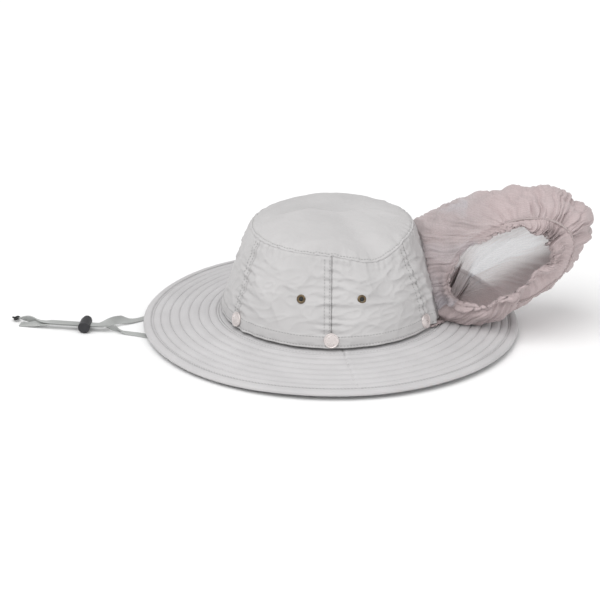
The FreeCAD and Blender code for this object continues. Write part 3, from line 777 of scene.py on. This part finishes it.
def tube(path, radius, sides=10):
    """Points and faces of a round tube along a line of points."""
    path = np.asarray(path, float)
    ahead = unit(np.gradient(path, axis=0))
    side = np.cross(ahead[0], [0.31, 0.2, 0.93])
    rows = []
    for spot, way in zip(path, ahead):
        side = side - way * np.dot(side, way)
        side /= np.linalg.norm(side)
        other = np.cross(way, side)
        rows.append([spot + (side * math.cos(a) + other * math.sin(a)) * radius
                     for a in round_angles(sides)])
    return np.array(rows), grid_faces(len(path), sides, True)


def capped_tube(name, path, radius, material, sides=10):
    rows, faces = tube(path, radius, sides)
    last = (len(rows) - 1) * sides
    faces = faces + [tuple(reversed(range(sides))), tuple(last + k for k in range(sides))]
    thing = make_object(name, rows.reshape(-1, 3), faces, material)
    merge_close(thing)
    return thing


def make_knot():
    """A small overhand knot of black cord with two short ends."""
    low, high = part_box("strap_end_knot")
    middle = np.array((low + high) / 2) / MM
    t = np.linspace(0.15, TAU - 0.15, 90)
    across, along = np.sin(t) + 2 * np.sin(2 * t), np.cos(t) - 2 * np.cos(2 * t)
    path = np.stack([across, along, -0.55 * np.sin(3 * t)], axis=1)
    path = path * np.array([1.15, 1.15, 1.0]) + middle + np.array([3.2, -1.0, 1.6])
    thing = capped_tube("knot", path, 0.85, black_cord_and_shade)
    stands_for(thing, "strap_end_knot")
    return thing


def make_spring():
    """The coil under the button, made at rest; in the real lock it flattens as the button is pressed."""
    axis = Vector((-math.sin(LOCK_YAW), math.cos(LOCK_YAW), 0))
    level, upright = Vector((0, 0, 1)).cross(axis), Vector((0, 0, 1))
    foot = LOCK - axis * LOCK_FOOT_TO_SLOT
    low, height, radius, turns = 1.5, 1.3, 3, 2 * TAU
    path = [foot + axis * (low + height * a / turns) + (level * math.cos(a) + upright * math.sin(a)) * radius
            for a in np.linspace(0, turns, 90)]
    coil = capped_tube("spring", path, 0.22, steel, 8)
    stands_for(coil, "cord_lock_spring", "cord_lock")
    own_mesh(coil)
    return coil


def make_tabs():
    """The doubled strap ends under the brim: flat pads with a stitched edge."""
    for name in ("left", "right"):
        low, high = (np.array(c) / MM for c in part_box(f"strap_tab_{name}"))
        xs, ys = np.linspace(low[0], high[0], 14), np.linspace(low[1], high[1], 12)
        grid_x, grid_y = np.meshgrid(xs, ys)
        edge = np.minimum.reduce([grid_x - low[0], high[0] - grid_x, grid_y - low[1], high[1] - grid_y])
        puff = 0.45 * np.clip(edge / 1.2, 0, 1) ** 0.5 - 0.25 * np.exp(-((edge - 1.8) / 0.5) ** 2)
        upper = np.stack([grid_x, grid_y, high[2] - 0.4 + puff * 0.6], axis=-1)
        lower = np.stack([grid_x, grid_y, low[2] + 0.4 - puff * 0.8], axis=-1)
        tab = wall(f"tab_{name}", upper, lower, False, tape_cloth)
        merge_close(tab)
        stands_for(tab, f"strap_tab_{name}")


# ---- veil -------------------------------------------------------------------------------------
VEIL_TILT = math.radians(27)
VEIL_MIDDLE = np.array([165.0, 8.0, 57.0])
VEIL_LONG, VEIL_SIDE = 82.0, 51.0
LONG_WAY = np.array([math.cos(VEIL_TILT), 0, math.sin(VEIL_TILT)])
BACK_WAY = np.array([0, 1.0, 0])
HIGH_WAY = np.array([-math.sin(VEIL_TILT), 0, math.cos(VEIL_TILT)])
HEM_SHARE = 0.762
SHOULDER_SHIFT = np.array([-30.0, 16.0, 0.0])
BELLY_SHIFT = np.array([-16.0, -26.0, -12.0])
NECK_WAY = np.array([-0.86, 0.05, -0.45])
NECK_ANGLE = math.radians(205)
LAP_ANGLE, LAP_DEPTH = math.radians(312), 20.0
# How far along a thread of net the bag's neck and its outline lie.
NECK_AT, OUTLINE_AT = 0.13, 0.66
ROOT_R, ROOT_Z = 100.5, -0.9
ROOT_HALF = math.radians(26)


def hem_point(phi):
    """A point on the veil's hem, which rings the open side of the bag."""
    low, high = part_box("veil_hem_casing")
    middle = np.array((low + high) / 2) / MM
    phi = np.asarray(phi, float)[..., None]
    share = LONG_WAY * np.cos(phi) * VEIL_LONG + HIGH_WAY * np.sin(phi) * VEIL_SIDE
    return middle + share * HEM_SHARE


def bag_point(way):
    """A place on the drawn-out bag; way is a unit vector (along it, to the far side, up across it)."""
    shoulder = np.clip(way @ unit(np.array([-0.75, 0.3, 0.6])), 0, 1)[..., None] ** 2
    belly = np.clip(way @ unit(np.array([-0.55, -0.3, -0.78])), 0, 1)[..., None] ** 3
    tail = np.clip(way[..., :1], 0, 1) ** 2
    spread = way[..., :1] * VEIL_LONG * LONG_WAY + way[..., 1:2] * VEIL_SIDE * BACK_WAY
    across = np.where(way[..., 2:] < 0, 0.88, 1.02) * way[..., 2:]
    spread = (spread + across * VEIL_SIDE * HIGH_WAY) * (1 - 0.03 * tail)
    return VEIL_MIDDLE + spread + shoulder * SHOULDER_SHIFT + belly * BELLY_SHIFT


def veil_paths(phi, t):
    """Threads of net from the pocket, round behind the bag to its outline, and forward to the hem.

    phi goes round the bag and t goes along a thread, from 0 at the pocket to 1 at the hem.
    """
    outline = np.stack([np.cos(phi), 0 * phi, np.sin(phi)], axis=-1)
    neck_way = unit(NECK_WAY)
    apart = (1 - outline @ neck_way) / 2
    share = 0.2 + 0.8 * np.clip((t - NECK_AT) / (OUTLINE_AT - NECK_AT), 0, 1)
    path = (1 - share)[..., None] * neck_way + share[..., None] * outline[None]
    path = path + (np.sin(math.pi * share) * (0.25 + 1.15 * apart[None]))[..., None] * BACK_WAY
    bag = bag_point(unit(path))

    gather = phi + 0.75 * np.sin(phi - NECK_ANGLE)
    hem = hem_point(gather)
    curl = np.clip((t - OUTLINE_AT) / (1 - OUTLINE_AT), 0, 1)[..., None]
    edge = bag_point(unit(outline))
    out = unit(hem - hem.mean(axis=0))
    lap = np.clip(0.45 + 0.9 * np.cos(gather - LAP_ANGLE), 0, 1)[:, None]
    blend = curl ** 1.3 * (3 - 2 * curl ** 1.3) * curl ** 0.3
    depth = (17 - 3 * lap) * np.sin(math.pi * curl ** 0.85)
    turned_in = LAP_DEPTH * lap * np.sin(math.pi * np.clip((curl - 0.25) / 0.75, 0, 1) ** 0.9)
    rolled = (1 - blend) * edge + blend * hem - BACK_WAY * depth - out * turned_in
    grid = np.where(curl > 0, rolled, bag)

    root_theta = ROOT_HALF * np.cos(phi - math.radians(80))
    root = round_points(root_theta, np.full_like(phi, ROOT_R), ROOT_Z + 0.3 * np.sin(phi))
    rise = np.clip(t / NECK_AT, 0, 1)[..., None]
    leave = root + round_points(root_theta, np.full_like(phi, 9.0), np.full_like(phi, 3.0))
    base = bag_point(unit(0.8 * neck_way + 0.2 * outline))[None]
    neck = (1 - rise) ** 2 * root[None] + 2 * rise * (1 - rise) * leave[None] + rise ** 2 * base
    return np.where(rise < 1, neck, grid)


def ring_noise(turn, periods, height, shift=0, rise=0):
    """Smooth noise that closes on itself round the bag."""
    return rough(np.cos(turn) * periods + shift, np.sin(turn) * periods + rise, height)


def veil_folds(grid, phi, t):
    """The smooth bag with its folds, and how closely the net is gathered at each point, from 0 to 1."""
    fade = np.clip(t / 0.07, 0, 1) * np.clip((1 - t) / 0.05, 0.3, 1)
    ring = np.clip((t - 0.5) / 0.16, 0, 1)
    turn = phi[None] + 0 * t
    along = (grid - VEIL_MIDDLE) @ LONG_WAY / VEIL_LONG
    across = (grid - VEIL_MIDDLE) @ HIGH_WAY / VEIL_SIDE
    # The single, see-through part of the net behind the mouth, which the colour ramp paints pale as light
    # showing through it.
    long_way, high_way = (along + 0.02 - 0.25 * across) / 0.58, (across + 0.2) / 0.44
    window = np.exp(-long_way ** 6 - high_way ** 6) * (1 - ring)
    # Folds run along the mouth's edge beside the neck and below, and across it elsewhere.
    beside = np.clip(0.5 + 0.75 * np.cos(turn - NECK_ANGLE), 0, 1)
    below = np.clip(0.35 - 1.5 * np.sin(turn + 0.25), 0, 1)
    long_folds = np.maximum(beside, below)
    swirl = ring_noise(turn, 1.7, t * 2.2)
    wide = ring_noise(turn, 5.5, t * 1.3 + 3) * 2.2
    narrow = np.sin(44 * turn + 9 * ring_noise(turn, 2.6, t * 3.0, 5))
    along_ring = np.sin(t * 70 + 5 * ring_noise(turn, 2.3, t * 4.0, 0, 6))
    streaks = 1 - np.abs(ring_noise(turn, 13, t * 2.2))
    uneven = 0.4 + 0.9 * np.clip(ring_noise(turn, 3, t * 3, 8) + 0.3, 0, 1)
    push = wide * (1.0 + 1.1 * ring * (1 - 0.7 * below))
    push = push + narrow * uneven * (0.1 * (1 - window) + 0.9 * ring * (1 - long_folds))
    push = push + along_ring * uneven * 2.4 * ring * long_folds
    push = push + (streaks ** 5 - 0.3) * 2.6 * (1 - window)
    normal = unit(np.cross(np.gradient(grid, axis=0), np.gradient(grid, axis=1)) + 1e-9)
    grid = grid + normal * (push * fade)[..., None]
    far_end = np.clip((along - 0.25) / 0.4, 0, 1)
    crumpled = 0.5 + 1.1 * ring + 0.8 * far_end * (1 - window)
    for scale, size in ((17.0, 1.4), (9.0, 0.65), (5.0, 0.2)):
        x, y, z = np.moveaxis(grid / scale, -1, 0)
        spots = np.stack([rough(x + 7 * k, y, z) for k in range(3)], axis=-1)
        grid = grid + spots * (size * fade * crumpled)[..., None]

    # close sets how see-through the net is and also its colour: low values paint it pale, as light showing
    # through, and high values the darker mauve, partly painted shade.
    side = np.clip((0.15 - along) / 0.35, 0, 1) * np.clip((across + 0.42) / 0.25, 0, 1)
    close = 0.95 - 0.83 * window - 0.72 * side * ring - 0.3 * side * (1 - ring) * (1 - window)
    close = close + 0.05 * narrow * (1 - ring) + 0.25 * swirl
    lapped = 0.14 * np.clip(3 * rough(across * 1.3 + 0.5 * along + 2, t * 1.5, 0.4), 0, 1) * window
    return grid, np.clip(close + lapped, 0.08, 1)


def keep_off_hat(points):
    """Moves points out of the crown and up off the brim."""
    room = 1.2
    radius = np.hypot(points[:, 0], points[:, 1])
    theta = np.arctan2(points[:, 1], points[:, 0])
    height = np.clip(points[:, 2], 0, SEAM_Z)
    beside = (points[:, 2] > 1.0) & (points[:, 2] < SEAM_Z + 8)
    wanted = crown_profile(height) + 2.6 + room
    push = np.where(beside & (radius < wanted), wanted / np.maximum(radius, 1), 1.0)
    points[:, :2] *= push[:, None]
    radius = np.hypot(points[:, 0], points[:, 1])
    brim = brim_cone(radius) + brim_wave(radius, theta) + 0.9 + room
    rest = np.where(radius < BRIM_R + 2, brim, FLOOR_Z + 1)
    points[:, 2] = np.maximum(points[:, 2], np.where(radius < HEM_R + 4, -1.9, rest))
    return points


def settle(thing, pinned):
    """Lets the net wrinkle and hang a little between its pinned hem and root, as cloth."""
    frames = 16
    group = thing.vertex_groups.new(name="pin")
    group.add(pinned, 1.0, "REPLACE")
    cloth = thing.modifiers.new("cloth", "CLOTH")
    settings = cloth.settings
    settings.quality = 4
    settings.mass = 0.04
    settings.tension_stiffness = settings.compression_stiffness = 6.0
    settings.shear_stiffness = 2.0
    settings.bending_stiffness = 0.08
    settings.air_damping = 4.0
    settings.vertex_group_mass = "pin"
    settings.shrink_min = -0.035
    settings.effector_weights.gravity = 0.02
    cloth.collision_settings.use_collision = False
    cloth.collision_settings.use_self_collision = False
    cloth.point_cache.frame_start, cloth.point_cache.frame_end = 1, frames
    scene = bpy.context.scene
    for frame_number in range(1, frames + 1):
        scene.frame_set(frame_number)
    graph = bpy.context.evaluated_depsgraph_get()
    settled = np.array([v.co[:] for v in thing.evaluated_get(graph).data.vertices])
    thing.modifiers.remove(cloth)
    thing.vertex_groups.clear()
    scene.frame_set(1)
    return settled


def mark_gather(thing, close):
    mark = thing.data.attributes.new("gather", "FLOAT", "POINT")
    mark.data.foreach_set("value", np.ravel(close).astype(np.float32))


def make_veil():
    rows, cols = 84, 400
    phi, t = round_angles(cols), np.linspace(0, 1, rows)[:, None]
    grid, close = veil_folds(veil_paths(phi, t), phi, t)
    start = keep_off_hat(grid.reshape(-1, 3).copy())
    net = make_object("veil_cloth", start, grid_faces(rows, cols, True), net_cloth)
    mark_gather(net, close)
    pinned = list(range(cols)) + list(range((rows - 1) * cols, rows * cols))
    settled = keep_off_hat(settle(net, pinned) / MM)
    net.data.vertices.foreach_set("co", (settled * MM).ravel())
    net.data.update()
    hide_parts("veil_net")
    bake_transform(net)
    hem, elastic, root = make_hem(), make_elastic(), make_root()


def make_hem():
    """The hem's channel, gathered on its elastic into small soft ruffles."""
    count, sides = 540, 14
    centres = hem_point(round_angles(count))
    ahead = unit(np.roll(centres, -1, axis=0) - centres)
    around = round_angles(sides)
    rows = []
    for k, (spot, way) in enumerate(zip(centres, ahead)):
        other = np.cross(way, BACK_WAY)
        swell = 1 + 0.16 * math.sin(k * 0.62 + 5 * noise.noise((k * 0.03, 0, 0)))
        swell += 0.3 * noise.noise((k * 0.11, 3.0, 0.0))
        row = []
        for a in around:
            size = 1.3 * swell * (1 + 0.4 * noise.noise((k * 0.08, math.cos(a) * 2, math.sin(a) * 2)))
            row.append(spot + (BACK_WAY * math.cos(a) * 1.3 + other * math.sin(a)) * size)
        rows.append(row)
    rows.append(rows[0])
    grid = np.array(rows)
    hem = make_object("veil_hem", grid.reshape(-1, 3), grid_faces(count + 1, sides, True), net_dense)
    merge_close(hem)
    mark_gather(hem, np.full(len(hem.data.vertices), 0.5))
    stands_for(hem, "veil_hem_casing", "veil")
    return hem


def make_elastic():
    centres = hem_point(np.linspace(0, TAU, 361))
    grid, faces = tube(centres, 0.7, 8)
    grid[-1] = grid[0]
    elastic = make_object("hem_elastic", grid.reshape(-1, 3), faces, elastic_rubber)
    merge_close(elastic)
    stands_for(elastic, "veil_hem_elastic", "veil")
    return elastic


def make_root():
    """The gathered tape by which the net is sewn into its pocket."""
    thetas = np.linspace(-ROOT_HALF, ROOT_HALF, 160)
    radii = np.linspace(96.9, 101.2, 10)
    grid_theta, grid_r = np.meshgrid(thetas, radii)
    wave = 0.22 * np.sin(grid_theta * 210) * np.clip((grid_r - 97) / 5, 0.2, 1)
    upper = round_points(grid_theta, grid_r, -0.35 + wave)
    lower = round_points(grid_theta, grid_r, -0.95 + wave)
    root = wall("root_tape", upper, lower, False, net_dense)
    merge_close(root)
    mark_gather(root, np.full(len(root.data.vertices), 0.9))
    stands_for(root, "veil_root_tape")
    return root


# ---- room, lights and camera ------------------------------------------------------------------
def make_room():
    size = 30.0
    floor_z = FLOOR_Z * MM - 0.0002
    mesh = bpy.data.meshes.new("floor")
    corners = [(x * size, y * size, floor_z) for x, y in ((-1, -1), (1, -1), (1, 1), (-1, 1))]
    mesh.from_pydata(corners, [], [(0, 1, 2, 3)])
    floor = in_scene("floor", mesh)
    material, _, _ = new_material("floor_white", (0.93, 0.93, 0.93), 0.9)
    floor.data.materials.append(material)
    world = bpy.data.worlds.new("studio")
    world.use_nodes = True
    world.node_tree.nodes["Background"].inputs["Color"].default_value = (1, 1, 1, 1)
    world.node_tree.nodes["Background"].inputs["Strength"].default_value = 0.6
    bpy.context.scene.world = world
    for name, spot, power, spread in (
        ("key", (-0.55, -0.75, 1.5), 1.85, 60),
        ("fill", (1.2, -0.9, 0.9), 0.45, 50),
    ):
        light = bpy.data.lights.new(name, "SUN")
        light.energy, light.angle = power, math.radians(spread)
        lamp = in_scene(name, light)
        lamp.rotation_euler = (-Vector(spot)).to_track_quat("-Z", "Y").to_euler()


def make_camera():
    elevation, roll, distance = math.radians(22), math.radians(0.5), 5.44
    target = Vector((-0.029, 0, 0.007))
    camera = bpy.data.cameras.new("camera")
    camera.lens, camera.sensor_width = 350, 36
    thing = in_scene("camera", camera)
    back = Vector((0, -math.cos(elevation), math.sin(elevation)))
    thing.location = target + back * distance
    turn = (-back).to_track_quat("-Z", "Y").to_matrix() @ Matrix.Rotation(roll, 3, "Z")
    thing.rotation_euler = turn.to_euler()
    bpy.context.scene.camera = thing


make_crown()
make_tip()
make_crown_stitches()
make_inside()
make_brim()
make_binding()
make_brim_stitches()
make_snaps()
make_eyelets()
make_strap()
make_veil()
make_room()
make_camera()
bpy.context.scene.view_settings.view_transform = "Standard"
